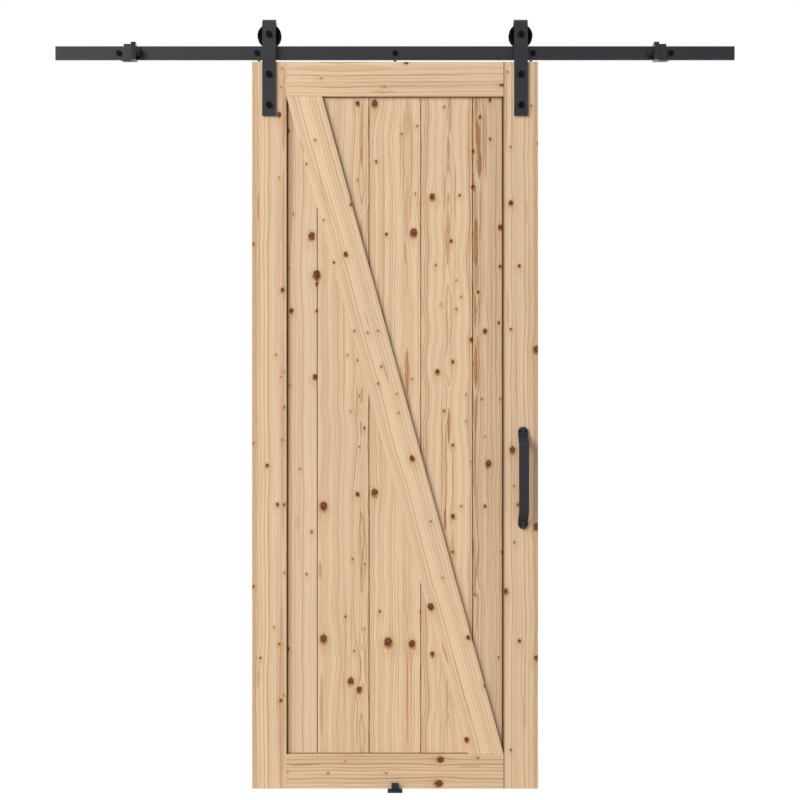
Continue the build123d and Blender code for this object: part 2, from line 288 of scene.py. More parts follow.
# Read by eye from the photo, then turned into millimetres and rounded by a script.
# Knots are (right, up, radius); streaks are (right, up, half length, half width, strength).
BOARDS = {
    "left_stile": Board(
        pith=(-500, 0),
        pith_depth=40,
        ring=8.0,
        knots=[
            (-330, 2115, PIN), (-335, 2060, PIN), (-340, 1980, 6.5), (-340, 1795, PIN), (-415, 1600, KNOT),
            (-330, 1465, 6), (-350, 1275, PIN), (-335, 1210, 2.5), (-325, 1225, 2.5), (-325, 1120, PIN),
            (-330, 1025, PIN), (-415, 1015, PIN), (-375, 950, KNOT), (-345, 835, 6), (-325, 835, KNOT),
            (-325, 635, PIN), (-415, 595, KNOT), (-355, 475, PIN), (-340, 425, KNOT), (-395, 385, PIN),
            (-325, 275, PIN), (-335, 260, KNOT),
        ],
        streaks=[
            (-413, 1065, 1400, 6.5, 0.35), (-400, 1610, 530, 2, 0.4), (-327, 1990, 140, 6, 0.55),
            (-328, 1610, 260, 5.5, 0.4), (-329, 1050, 380, 5.5, 0.4), (-333, 260, 360, 9, 0.38),
            (-348, 1480, 430, 2, 0.35), (-341, 1625, 190, 2, 0.3), (-346, 425, 420, 2, 0.35),
            (-402, 1710, 45, 3.5, 0.5), (-402, 325, 35, 3.5, 0.5),
        ],
    ),
    "right_stile": Board(
        pith=(530, 0),
        pith_depth=60,
        ring=8.0,
        figure=0.8,
        tone=0.96,
        knots=[
            (330, 2105, PIN), (400, 2005, PIN), (420, 1895, KNOT), (340, 1885, PIN), (340, 1720, 9),
            (365, 1535, KNOT), (340, 1350, KNOT), (415, 1290, 9), (345, 995, 8.5), (350, 890, PIN),
            (360, 835, KNOT), (415, 770, 11), (350, 725, PIN), (325, 580, 7), (365, 435, KNOT),
            (415, 385, 6), (340, 115, PIN),
        ],
        streaks=[
            (327, 1990, 140, 3.5, 0.4), (345, 1965, 90, 2, 0.35), (413, 1065, 1400, 7.5, 0.25),
            (356, 1245, 190, 2, 0.45), (332, 1405, 60, 4, 0.35), (385, 1690, 40, 4.5, 0.25),
            (381, 210, 40, 6, 0.25), (373, 335, 340, 3, 0.22), (396, 1360, 280, 7.5, 0.15),
        ],
    ),
    "top_rail": Board(
        grain="level",
        pith=(0, 2190),
        ring=9.0,
        sway=5.0,
        knots=[(-215, 2085, PIN), (-30, 2060, PIN), (35, 2130, 5), (315, 2065, 6)],
        streaks=[
            (-35, 2095, 290, 2, 0.4), (-60, 2085, 260, 2, 0.3), (0, 2075, 310, 2, 0.45),
            (0, 2060, 310, 2, 0.45), (-146, 2115, 160, 12, 0.2), (-35, 2045, 40, 3.5, 0.5),
        ],
    ),
    "bottom_rail": Board(
        grain="level",
        pith=(0, -60),
        ring=9.0,
        tone=0.965,
        sway=5.0,
        knots=[
            (-145, 80, PIN), (-195, 45, PIN), (-25, 45, PIN), (-315, 50, PIN), (135, 85, 10),
            (130, 15, 10), (245, 90, PIN),
        ],
        streaks=[
            (-100, 95, 220, 2, 0.45), (-261, 70, 55, 3, 0.5), (-60, 60, 130, 2, 0.35),
            (0, 40, 310, 2, 0.3), (40, 30, 270, 2, 0.3), (220, 65, 40, 2.5, 0.4), (-90, 15, 220, 2, 0.3),
        ],
    ),
    "panel_board_1": Board(
        pith=(-160, 0),
        pith_depth=40,
        ring=9.0,
        figure=0.65,
        tone=0.965,
        knots=[
            (-315, 1935, 6), (-300, 1690, PIN), (-245, 1625, 12), (-315, 1530, PIN), (-305, 1405, 8),
            (-235, 1210, 8.5), (-310, 1185, PIN), (-280, 940, PIN), (-245, 755, 3.5), (-260, 630, PIN),
            (-315, 410, KNOT), (-320, 230, KNOT), *JOINT_1_KNOTS,
        ],
        streaks=[
            (-303, 1805, 220, 7, 0.3), (-313, 1230, 380, 4, 0.35), (-280, 995, 440, 7.5, 0.15),
            (-287, 780, 25, 8, 0.2),
        ],
    ),
    "panel_board_2": Board(
        pith=(-98, 0),
        tone=0.985,
        pith_depth=-36,
        ring=6.0,
        taper=44.0,
        wander=14.0,
        point=1.4,
        knots=[
            (-110, 2015, 8), (-110, 1790, PIN), (-140, 1275, PIN), (-110, 1260, PIN), (-105, 1155, PIN),
            (-130, 1110, PIN), (-90, 1060, KNOT), (-105, 1005, PIN), (-110, 865, 8), (-210, 830, 11),
            (-125, 675, PIN), (-90, 660, PIN), (-145, 505, PIN), (-90, 470, PIN), (-210, 440, 11),
            (-120, 405, PIN), (-130, 315, 9), (-105, 290, 8), *JOINT_1_KNOTS,
        ],
        streaks=[
            (-98, 1925, 110, 7, 0.5), (-99, 1640, 40, 5.5, 0.45), (-84, 1745, 280, 3, 0.3),
            (-112, 1135, 55, 4.5, 0.4), (-100, 1060, 25, 4.5, 0.55), (-102, 760, 90, 2.5, 0.45),
            (-92, 760, 90, 2.5, 0.45), (-97, 660, 55, 4, 0.55), (-104, 385, 95, 2.5, 0.4),
            (-91, 385, 95, 2.5, 0.4), (-150, 1275, 190, 4, 0.25), (-146, 335, 340, 3.5, 0.3),
            (-220, 640, 30, 6, 0.5), (-216, 245, 110, 4.5, 0.42), (-129, 435, 120, 2.5, 0.3),
            (-112, 195, 90, 2.5, 0.4),
        ],
    ),
    "panel_board_3": Board(
        pith=(36, 0),
        tone=1.025,
        pith_depth=-34,
        ring=7.0,
        taper=40.0,
        wander=14.0,
        point=1.4,
        knots=[
            (-60, 2015, 12), (-55, 1845, KNOT), (20, 1925, PIN), (65, 1950, PIN), (60, 1750, PIN),
            (-25, 1630, KNOT), (55, 1635, 10), (50, 1205, PIN), (-60, 870, 10), (-45, 520, KNOT),
            (-20, 430, 12), (50, 425, 12), (75, 520, PIN),
        ],
        streaks=[
            (16, 1860, 180, 2, 0.4), (25, 1830, 200, 2.5, 0.45), (48, 1830, 200, 2.5, 0.5),
            (36, 1970, 65, 10, 0.25), (38, 1700, 90, 10.5, 0.3), (32, 1575, 40, 4.5, 0.5),
            (36, 1225, 75, 7.5, 0.8), (38, 1105, 80, 9, 0.3), (68, 1545, 490, 2.5, 0.35),
            (-34, 1560, 480, 4.5, 0.3), (-47, 1125, 460, 2.5, 0.3), (37, 270, 170, 3.5, 0.5),
            (48, 270, 170, 2.5, 0.45), (56, 240, 140, 2, 0.4), (9, 415, 310, 2.5, 0.3),
            (26, 580, 90, 2.5, 0.3),
        ],
    ),
    "panel_board_4": Board(
        pith=(157, 0),
        tone=1.03,
        pith_depth=-36,
        ring=5.5,
        taper=50.0,
        wander=14.0,
        point=1.4,
        knots=[
            (145, 2005, PIN), (110, 1740, 10), (190, 1745, KNOT), (165, 1610, KNOT), (120, 1540, PIN),
            (180, 1495, 2.6), (195, 1445, 2.8), (135, 1425, PIN), (180, 1410, 2.8), (170, 1255, 6.5),
            (125, 1225, 7.5), (210, 1160, PIN), (145, 1110, KNOT), (210, 1080, PIN), (170, 1010, KNOT),
            (195, 830, PIN), (170, 800, 6), (170, 695, KNOT), (110, 395, 8), *JOINT_4_KNOTS,
        ],
        streaks=[
            (160, 1985, 70, 7.5, 0.45), (158, 1880, 35, 5.5, 0.45), (156, 1825, 20, 4.5, 0.4),
            (144, 1750, 65, 2.5, 0.5), (177, 1755, 100, 2.5, 0.5), (157, 1735, 20, 4.5, 0.65),
            (156, 1620, 85, 8.5, 0.5), (144, 1575, 110, 2, 0.4), (175, 1545, 110, 2, 0.4),
            (153, 1370, 110, 2.5, 0.45), (165, 1385, 80, 2, 0.4), (138, 1000, 210, 3, 0.55),
            (150, 920, 160, 4, 0.6), (159, 1065, 60, 5.5, 0.75), (171, 905, 120, 2.5, 0.5),
            (150, 790, 40, 5.5, 0.7), (171, 720, 50, 2.5, 0.45), (220, 1670, 370, 2, 0.4),
            (212, 1805, 75, 2, 0.3), (132, 385, 290, 3, 0.3), (153, 295, 200, 3.5, 0.35),
        ],
    ),
    "panel_board_5": Board(
        pith=(242, 0),
        pith_depth=-36,
        ring=6.0,
        taper=30.0,
        wander=14.0,
        point=1.4,
        tone=0.9,
        knots=[
            (280, 2025, KNOT), (250, 1975, KNOT), (280, 1910, KNOT), (235, 1760, PIN), (310, 1650, 8.5),
            (310, 1535, KNOT), (245, 1460, KNOT), (305, 1370, KNOT), (265, 1345, 7), (255, 1145, PIN),
            (310, 1145, PIN), (265, 1035, PIN), (275, 955, 10), (265, 830, KNOT), (315, 695, KNOT),
            (235, 570, KNOT), (305, 385, PIN), *JOINT_4_KNOTS,
        ],
        streaks=[
            (240, 2005, 40, 5.5, 0.65), (261, 1920, 130, 3, 0.6), (268, 1910, 140, 3, 0.6),
            (244, 1915, 65, 7.5, 0.95), (248, 1835, 45, 8, 0.9), (252, 1690, 90, 2.5, 0.6),
            (238, 1680, 80, 6, 0.4), (238, 1605, 75, 8, 0.95), (241, 1515, 65, 7, 0.6),
            (236, 1405, 60, 4.5, 0.7), (248, 1405, 60, 2.5, 0.7), (238, 1240, 75, 6, 0.85),
            (247, 1240, 100, 2.5, 0.5), (237, 1095, 65, 4.5, 0.7), (237, 950, 100, 4.5, 0.55),
            (231, 705, 35, 3, 0.8), (235, 625, 75, 3.5, 0.5), (297, 1530, 510, 3, 0.35),
            (284, 1200, 530, 2.5, 0.35), (272, 1025, 590, 2.5, 0.35), (309, 725, 620, 2.5, 0.3),
        ],
    ),
    "diagonal_brace": Board(
        grain="brace",
        pith=(-120, 900),
        pith_depth=60,
        ring=8.0,
        tone=1.02,
        knots=[
            (-235, 1905, PIN), (-260, 1835, PIN), (-210, 1670, PIN), (-130, 1715, KNOT), (-145, 1570, 8),
            (-180, 1545, KNOT), (-120, 1345, PIN), (-80, 1340, PIN), (-50, 1345, PIN), (-40, 1240, PIN),
            (-50, 1190, PIN), (5, 1160, PIN), (10, 1105, PIN), (50, 970, 7.5), (10, 800, 8), (105, 785, PIN),
            (140, 620, PIN), (105, 535, 9), (215, 445, 7.5), (265, 305, 6), (210, 145, 7),
        ],
        streaks=[
            (-273, 1885, 30, 3.5, 0.5), (-208, 1740, 90, 2.5, 0.45), (-176, 1685, 120, 2, 0.4),
            (-82, 1375, 35, 3, 0.4), (-29, 1225, 40, 3.5, 0.4), (147, 400, 40, 4, 0.5),
            (197, 290, 120, 2, 0.4), (-191, 1875, 180, 2.5, 0.3),
        ],
    ),
}


def knot_group():
    """One knot: pushes the grain aside and keeps the distance to the nearest knot's dark core, in steps."""
    inputs = ("Across", "Along", "Knot across", "Knot along", "Radius", "Push", "Nearest")
    group, tree, given, result = new_group("pine_knot", inputs, ("Push", "Nearest"))
    across = tree.math("SUBTRACT", given["Across"], given["Knot across"])
    along = tree.math("SUBTRACT", given["Along"], given["Knot along"])
    swirl_u = tree.math("DIVIDE", across, tree.math("MULTIPLY", given["Radius"], SWIRL_WIDTH))
    swirl_v = tree.math("DIVIDE", along, tree.math("MULTIPLY", given["Radius"], SWIRL_LENGTH))
    spread = tree.math("MULTIPLY_ADD", swirl_u, swirl_u, tree.math("MULTIPLY_ADD", swirl_v, swirl_v, 1.0))
    fading = tree.math("DIVIDE", SWIRL_PUSH, tree.math("MULTIPLY", spread, spread))
    tree.feed(result["Push"], tree.math("MULTIPLY_ADD", across, fading, given["Push"]))
    core_v = tree.math("DIVIDE", along, KNOT_STRETCH)
    squared = tree.math("MULTIPLY_ADD", across, across, tree.math("MULTIPLY", core_v, core_v))
    distance = tree.math("SQRT", squared)
    core = tree.math("MULTIPLY_ADD", given["Radius"], KNOT_CORE, -KNOT_RIM)
    step = tree.math("MULTIPLY_ADD", given["Radius"], KNOT_STEP_GROWTH, KNOT_STEP)
    outside = tree.math("DIVIDE", tree.math("SUBTRACT", distance, core), step)
    upward = tree.math("DIVIDE", core_v, tree.math("MAXIMUM", distance, KNOT_CENTRE))
    outside = tree.math("MULTIPLY", outside, tree.math("MULTIPLY_ADD", upward, KNOT_LEAN, 1.0))
    tree.feed(result["Nearest"], tree.math("MINIMUM", outside, given["Nearest"]))
    return group


def streak_group():
    """One long darker streak of heart wood, added to the sum of those before it."""
    inputs = (
        "Across", "Along", "Middle across", "Middle along",
        "Half width", "Half length", "Strength", "Sum",
    )
    group, tree, given, result = new_group("pine_streak", inputs, ("Sum",))
    across = tree.math("SUBTRACT", given["Across"], given["Middle across"])
    along = tree.math("SUBTRACT", given["Along"], given["Middle along"])
    u = tree.math("POWER", tree.math("DIVIDE", across, given["Half width"]), 2.0)
    v = tree.math("POWER", tree.math("DIVIDE", along, given["Half length"]), 2.0)
    depth = tree.math("SUBTRACT", 1.0, tree.math("ADD", u, v))
    inside = tree.math("MULTIPLY", depth, STREAK_FULLNESS, clamp=True)
    tree.feed(result["Sum"], tree.math("MULTIPLY_ADD", inside, given["Strength"], given["Sum"]))
    return group


def brace_lean():
    """Angle of the brace's edges from upright, from its corners."""
    points = [v.co for v in nodes["diagonal_brace"].data.vertices]
    low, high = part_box("diagonal_brace")
    top_left = min(p.x for p in points if p.z > high.z - MM)
    bottom_left = min(p.x for p in points if p.z < low.z + MM)
    return atan2(bottom_left - top_left, high.z - low.z)


LEAN = brace_lean()
GRAINS = {
    "upright": (Vector((1, 0, 0)), Vector((0, 0, 1))),
    "level": (Vector((0, 0, 1)), Vector((1, 0, 0))),
    "brace": (Vector((cos(LEAN), 0, sin(LEAN))), Vector((-sin(LEAN), 0, cos(LEAN)))),
}
TO_WALL = Vector((0, 1, 0))
KNOT_GROUP = knot_group()
STREAK_GROUP = streak_group()


class Grain:
    """Places in one board, in millimetres across and along its grain and towards the wall."""

    def __init__(self, tree, board, seed):
        self.tree = tree
        self.board = board
        self.seed = seed
        self.across_axis, self.along_axis = GRAINS[board.grain]
        place = tree.node("ShaderNodeTexCoord").outputs["Object"]
        self.across = tree.math("DIVIDE", tree.dot(place, self.across_axis), MM)
        self.along = tree.math("DIVIDE", tree.dot(place, self.along_axis), MM)
        self.depth = tree.math("DIVIDE", tree.dot(place, TO_WALL), MM)

    def place(self, right, up):
        """Across and along the grain, for a point right of the leaf's middle and above its foot."""
        point = Vector((right, 0, foot / MM + up))
        return point.dot(self.across_axis), point.dot(self.along_axis)

    def swing(self, across, size, third, detail=2.0, roughness=0.5):
        """Noise about zero, with a size across and along the grain."""
        sides = zip((across, self.along), size)
        steps = [self.tree.math("DIVIDE", side, length) for side, length in sides]
        noise = self.tree.noise(self.tree.join(*steps, third), detail=detail, roughness=roughness)
        return self.tree.about_zero(noise)

    def slow_swing(self, rate, seed):
        """Noise about zero that changes along the grain alone."""
        place = self.tree.math("MULTIPLY_ADD", self.along, rate, seed * self.seed)
        return self.tree.about_zero(self.tree.noise_along(place))


def knots_of(tree, grain):
    """The push of all knots on the grain, and the distance to the nearest knot."""
    push, nearest = 0.0, NO_KNOT
    for right, up, radius in grain.board.knots:
        knot_across, knot_along = grain.place(right, up)
        given = {
            "Across": grain.across,
            "Along": grain.along,
            "Knot across": knot_across,
            "Knot along": knot_along,
            "Radius": radius * (1.0 + KNOT_VARIETY * sin(up)),
            "Push": push,
            "Nearest": nearest,
        }
        push, nearest = tree.node("ShaderNodeGroup", given, node_tree=KNOT_GROUP).outputs
    return push, nearest


def streaks_of(tree, grain, flame):
    """Share of heart wood, with the streaks' edges broken up by the flame."""
    total = 0.0
    for right, up, half_length, half_width, strength in grain.board.streaks:
        middle_across, middle_along = grain.place(right, up)
        given = {
            "Across": flame,
            "Along": grain.along,
            "Middle across": middle_across,
            "Middle along": middle_along,
            "Half width": half_width,
            "Half length": half_length,
            "Strength": strength,
            "Sum": total,
        }
        total = tree.node("ShaderNodeGroup", given, node_tree=STREAK_GROUP).outputs["Sum"]
    return total


def late_wood(tree, grain, swayed):
    """Share of dark late wood, from the growth rings round the pith."""
    board = grain.board
    radial = tree.math("SUBTRACT", swayed, grain.place(*board.pith)[0])
    radial = tree.math("MULTIPLY_ADD", grain.slow_swing(WANDER_RATE, WANDER_SEED), board.wander, radial)
    deep = tree.math("SUBTRACT", grain.depth, board.pith_depth)
    deep = tree.math("MULTIPLY_ADD", grain.slow_swing(TAPER_RATE, TAPER_SEED), board.taper, deep)
    sides = [tree.math("POWER", tree.math("ABSOLUTE", side), board.point) for side in (radial, deep)]
    radius = tree.math("POWER", tree.math("ADD", *sides), 1.0 / board.point)
    year = tree.math("MULTIPLY_ADD", radius, 1.0 / board.ring, YEAR_SEED * grain.seed)
    year = tree.math("ADD", year, tree.noise_along(tree.math("MULTIPLY", year, YEAR_RATE), detail=1.0))
    growth = tree.math("POWER", tree.math("FRACT", year), LATE_SHARPNESS)
    whole = {"W": tree.math("FLOOR", year)}
    chance = tree.node("ShaderNodeTexWhiteNoise", whole, noise_dimensions="1D").outputs[0]
    late = tree.math("MULTIPLY", growth, tree.math("MULTIPLY_ADD", chance, LATE_SPREAD, LATE_LEAST))
    bands = tree.ease(tree.noise_along(tree.math("MULTIPLY", year, BAND_RATE)), *BAND_EDGE)
    late = tree.math("MULTIPLY_ADD", bands, BAND_SHARE, late)
    return tree.math("MULTIPLY", late, board.figure, clamp=True)


def knot_ramp(tree, distance, stops):
    low, high = KNOT_REACH
    place = tree.node("ShaderNodeMapRange", {0: distance, 1: low, 2: high}).outputs[0]
    return tree.ramp(place, [((step - low) / (high - low), colour) for step, colour in stops])


def crevice_shaded(tree, name, grain, colour):
    """Painted shade in the boards' joints, on the brace's cut sides, and on the right stile's edge by the
    boards.
    """
    low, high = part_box(name)
    # Painted shade on the boards' joint flanks and tongues, behind their front face
    if name.startswith("panel_board"):
        behind_front = tree.math("SUBTRACT", grain.depth, low.y / MM)
        before_back = tree.math("SUBTRACT", high.y / MM, grain.depth)
        inside, reach = tree.math("MINIMUM", behind_front, before_back), JOINT_SHADE_DEPTH
    # Painted shade on the brace's cut sides, which also dims the light they bounce onto the boards
    elif name == "diagonal_brace":
        inside, reach = tree.math("SUBTRACT", grain.depth, low.y / MM), BRACE_SIDE_SHADE_DEPTH
    # Painted shade: a dark line along the right stile's inner edge by the boards, standing in for the shadow
    # of the gap
    elif name == "right_stile":
        inside, reach = tree.math("SUBTRACT", grain.across, low.x / MM), (STILE_EDGE_SHADE_WIDTH, STILE_EDGE_SHADE_WIDTH / 2)
    else:
        return colour
    return tree.mix(tree.ease(inside, *reach, 0.0, CREVICE_SHADE_SHARE), colour, CREVICE_SHADE_COLOUR)


def pine(name, board, seed):
    """Planed pine with growth rings through the solid board, its own knots and its heart streaks."""
    material, tree, shader = new_material("pine_" + name)
    grain = Grain(tree, board, seed)
    push, nearest = knots_of(tree, grain)
    drift = grain.swing(grain.across, DRIFT_SIZE, float(seed))
    ripple = grain.swing(grain.across, RIPPLE_SIZE, RIPPLE_SEED * seed)
    swayed = tree.math("MULTIPLY_ADD", drift, board.sway, tree.math("SUBTRACT", grain.across, push))
    swayed = tree.math("MULTIPLY_ADD", ripple, RIPPLE_PUSH, swayed)
    late = late_wood(tree, grain, swayed)

    fibre = grain.swing(swayed, FIBRE_SIZE, grain.depth, detail=3.0, roughness=0.6)
    mottle = grain.swing(grain.across, MOTTLE_SIZE, float(seed), detail=4.0, roughness=0.65)
    flicker = grain.swing(grain.across, FLICKER_SIZE, FLICKER_SEED * seed, detail=5.0, roughness=0.62)
    flame = tree.math("MULTIPLY_ADD", flicker, FLICKER_PUSH, swayed)
    fibrous = tree.math("MULTIPLY_ADD", fibre, HEART_FIBRE, 1.0)
    heart = tree.math("MULTIPLY", streaks_of(tree, grain, flame), fibrous, clamp=True)
    ragged = tree.math("MULTIPLY_ADD", mottle, KNOT_RAGGED, nearest)
    core = tree.ease(ragged, *KNOT_EDGE)

    colour = tree.mix(late, EARLY_WOOD, LATE_WOOD)
    colour = tree.mix(heart, colour, HEART_WOOD)
    shade = tree.math("MULTIPLY_ADD", fibre, FIBRE_SHADE, board.tone)
    shade = tree.math("MULTIPLY_ADD", drift, DRIFT_SHADE, shade)
    colour = tree.shaded(colour, shade)
    cover = knot_ramp(tree, ragged, [(step, grey(share)) for step, share in KNOT_COVER])
    colour = tree.mix(cover, colour, knot_ramp(tree, ragged, KNOT_COLOURS))
    tree.feed(shader["Base Color"], crevice_shaded(tree, name, grain, colour))

    tree.feed(shader["Roughness"], tree.math("MULTIPLY_ADD", core, -KNOT_POLISH, WOOD_ROUGHNESS))
    shader["Specular IOR Level"].default_value = WOOD_SPECULAR
    relief = tree.math("ADD", tree.math("MULTIPLY_ADD", late, LATE_RELIEF, fibre), core)
    tree.feed(shader["Normal"], tree.bump(relief, WOOD_RELIEF, WOOD_BUMP))
    return material


# Metal and rubber

CLOUD_SCALE = 22.0
PEEL_SCALE = 420.0
GRIT_SCALE = 1500.0
CLOUD_SHADE = 0.25
GRIT_SHADE = 0.35
CLOUD_GLOSS = 0.18
GRIT_RELIEF = 0.4
COAT_RELIEF = 0.12 * MM
COAT_BUMP = 0.5

BLOOM_SCALE = 160.0
BLOOM_SHADE = 0.8
BLOOM_ROUGHNESS = (0.2, 0.7)
RUBBER_DARKEST = 0.6
RUBBER_SPECULAR = 0.25
RUBBER_RELIEF = 0.2 * MM
RUBBER_BUMP = 0.4


def coated_steel(name, colour, roughness, specular):
    """Black powder coat: faint orange peel, and a little cloudiness in its colour and gloss."""
    material, tree, shader = new_material(name)
    place = tree.node("ShaderNodeTexCoord").outputs["Object"]
    cloud = tree.noise(place, scale=CLOUD_SCALE, detail=3.0)
    grit = tree.noise(place, scale=GRIT_SCALE, detail=2.0)
    peel = tree.noise(place, scale=PEEL_SCALE, detail=1.0)
    shade = tree.math("MULTIPLY_ADD", cloud, CLOUD_SHADE, 1.0 - CLOUD_SHADE / 2)
    shade = tree.math("MULTIPLY_ADD", tree.about_zero(grit), GRIT_SHADE, shade)
    tree.feed(shader["Base Color"], tree.shaded(colour, shade))
    rough = tree.math("MULTIPLY_ADD", tree.about_zero(cloud), CLOUD_GLOSS, roughness)
    tree.feed(shader["Roughness"], rough)
    shader["Specular IOR Level"].default_value = specular
    height = tree.math("MULTIPLY_ADD", grit, GRIT_RELIEF, peel)
    tree.feed(shader["Normal"], tree.bump(height, COAT_RELIEF, COAT_BUMP))
    return material


def rubber(name, colour):
    """Matt moulded rubber with a dusty bloom."""
    material, tree, shader = new_material(name)
    place = tree.node("ShaderNodeTexCoord").outputs["Object"]
    bloom = tree.noise(place, scale=BLOOM_SCALE, detail=4.0)
    shade = tree.math("MULTIPLY_ADD", bloom, BLOOM_SHADE, RUBBER_DARKEST)
    tree.feed(shader["Base Color"], tree.shaded(colour, shade))
    tree.feed(shader["Roughness"], tree.math("MULTIPLY_ADD", bloom, *BLOOM_ROUGHNESS))
    shader["Specular IOR Level"].default_value = RUBBER_SPECULAR
    tree.feed(shader["Normal"], tree.bump(bloom, RUBBER_RELIEF, RUBBER_BUMP))
    return material


STEEL = coated_steel("black_powder_coat", srgb(20, 18, 26), roughness=0.45, specular=0.42)
PLATE_STEEL = coated_steel("black_enamel", srgb(28, 27, 32), roughness=0.2, specular=0.4)
OXIDE = coated_steel("black_oxide", srgb(7, 7, 8), roughness=0.4, specular=0.08)
WHEEL = coated_steel("wheel_black", srgb(5, 5, 6), roughness=0.5, specular=0.05)
RUBBER = rubber("bumper_rubber", srgb(30, 30, 31))


def finish_of(name):
    """The material of a CAD node, by what the piece is."""
    if name in BOARDS:
        return pine(name, BOARDS[name], list(BOARDS).index(name) + 1)
    if name.endswith("_bumper"):
        return RUBBER
    if name.endswith("_wheel"):
        return WHEEL
    if name.endswith("_stop_plate"):
        return PLATE_STEEL
    if name.startswith("lag_screw") or name.endswith(("_bolt", "_nut", "_bolts", "_nuts", "_screws")):
        return OXIDE
    return STEEL


# Soft edges on the CAD pieces

WOOD_EDGE = 1.0 * MM
STEEL_EDGE = 0.6 * MM
WELD_REACH = 0.01 * MM
FLAT_ANGLE = radians(0.5)
EDGE_ANGLE = radians(35)
EDGE_SEGMENTS = 2
FLAT_WEIGHT = 80


def soften(node, width):
    """Rounds the sharp edges of a CAD piece a little, as planed wood and coated steel have them."""
    weld = node.modifiers.new("weld", "WELD")
    weld.merge_threshold = WELD_REACH
    flat = node.modifiers.new("flat_faces", "DECIMATE")
    flat.decimate_type = "DISSOLVE"
    flat.angle_limit = FLAT_ANGLE
    edge = node.modifiers.new("soft_edges", "BEVEL")
    edge.width = width
    edge.segments = EDGE_SEGMENTS
    edge.limit_method = "ANGLE"
    edge.angle_limit = EDGE_ANGLE
    shading = node.modifiers.new("shading", "WEIGHTED_NORMAL")
    shading.weight = FLAT_WEIGHT


SOFT_STEEL = ("_rail", "_handle", "_strap", "_clamp", "_plate", "_tab", "_base")

for name, node in nodes.items():
    node.data.materials.clear()
    node.data.materials.append(finish_of(name))
    if name in WOOD_FRAME or name == "diagonal_brace":
        soften(node, WOOD_EDGE)
    elif name.endswith(SOFT_STEEL):
        soften(node, STEEL_EDGE)


# Screw threads and drives, which the solids leave plain

LAG_SCREWS = 5
THREAD_PITCH = 3.2 * MM
THREAD_HEIGHT = 0.7 * MM
THREAD_START = 0.6
THREAD_STEPS = 24

# Section of the thread's ridge: along the screw in pitches, and out from its core in thread heights
THREAD_SECTION = ((-0.4, -0.1), (0, 1), (0.4, -0.1))

# Domed head and cross drive, in shares of the head's radius and height
HEAD_RINGS = 20
HEAD_STEPS = 48
DOME_FALL = 0.75
DOME_POWER = 3
DRIVE_ARM = 0.46
DRIVE_WIDTH = 0.14
DRIVE_DEPTH = 0.62
DRIVE_END_SLOPE = 0.08
DRIVE_SIDE_SLOPE = 0.05
DRIVE_TAPER = 0.5


def add_piece(name, points, faces, body, material):
    mesh = bpy.data.meshes.new(name)
    mesh.from_pydata(points, [], faces)
    mesh.shade_smooth()
    mesh.materials.append(material)
    piece = bpy.data.objects.new(name, mesh)
    bpy.context.scene.collection.objects.link(piece)
    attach(piece, body)
    return piece


def turned_profile(node, centre):
    """Depth and radius of each ring of corners of a turned node, in order of depth."""
    reach = [(v.co.y, (v.co - centre).xz.length) for v in node.data.vertices]
    return sorted({(round(depth, 6), round(radius, 6)) for depth, radius in reach})


def radius_at(profile, depth):
    """Radius of a turned profile at a depth, between the two rings on either side."""
    before = max(ring for ring in profile if ring[0] <= depth)
    after = min(ring for ring in profile if ring[0] > depth)
    share = (depth - before[0]) / (after[0] - before[0])
    return before[1] + share * (after[1] - before[1])


def lag_thread(number):
    """A helical ridge from the wall face to the point of a lag screw."""
    node = nodes[f"lag_screw_{number}"]
    low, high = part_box(node.name)
    centre = (low + high) / 2
    profile = turned_profile(node, centre)
    turns = int((high.y - THREAD_PITCH) / THREAD_PITCH)
    corners = len(THREAD_SECTION)
    points, faces = [], []
    for step in range(turns * THREAD_STEPS + 1):
        angle = tau * step / THREAD_STEPS
        middle = THREAD_PITCH * (THREAD_START + angle / tau)
        outward = Vector((cos(angle), 0, sin(angle)))
        for shift, rise in THREAD_SECTION:
            depth = middle + shift * THREAD_PITCH
            reach = radius_at(profile, depth) + rise * THREAD_HEIGHT
            points.append(Vector((centre.x, depth, centre.z)) + reach * outward)
        if step:
            new, old = corners * step, corners * (step - 1)
            for here in range(corners):
                there = (here + 1) % corners
                faces.append((old + here, new + here, new + there, old + there))
    faces += [tuple(range(corners)), tuple(range(len(points) - 1, len(points) - 1 - corners, -1))]
    add_piece(f"lag_thread_{number}", points, faces, "root", OXIDE)


def drive_depth(right, up):
    """Depth of a cross drive at a point of a screw head, both as shares of the head's radius."""
    long_arm, short_arm = max(abs(right), abs(up)), min(abs(right), abs(up))
    inside = min((DRIVE_ARM - long_arm) / DRIVE_END_SLOPE, (DRIVE_WIDTH - short_arm) / DRIVE_SIDE_SLOPE)
    return min(max(inside, 0.0), 1.0) * (1.0 - DRIVE_TAPER * long_arm / DRIVE_ARM)


def screws_of(node):
    """The corners of each screw in a node that holds four, by the quarter of its box that each lies in."""
    low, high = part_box(node.name)
    middle = (low + high) / 2
    quarters = {}
    for vertex in node.data.vertices:
        quarter = (vertex.co.x > middle.x, vertex.co.z > middle.z)
        quarters.setdefault(quarter, []).append(vertex.co)
    return list(quarters.values())


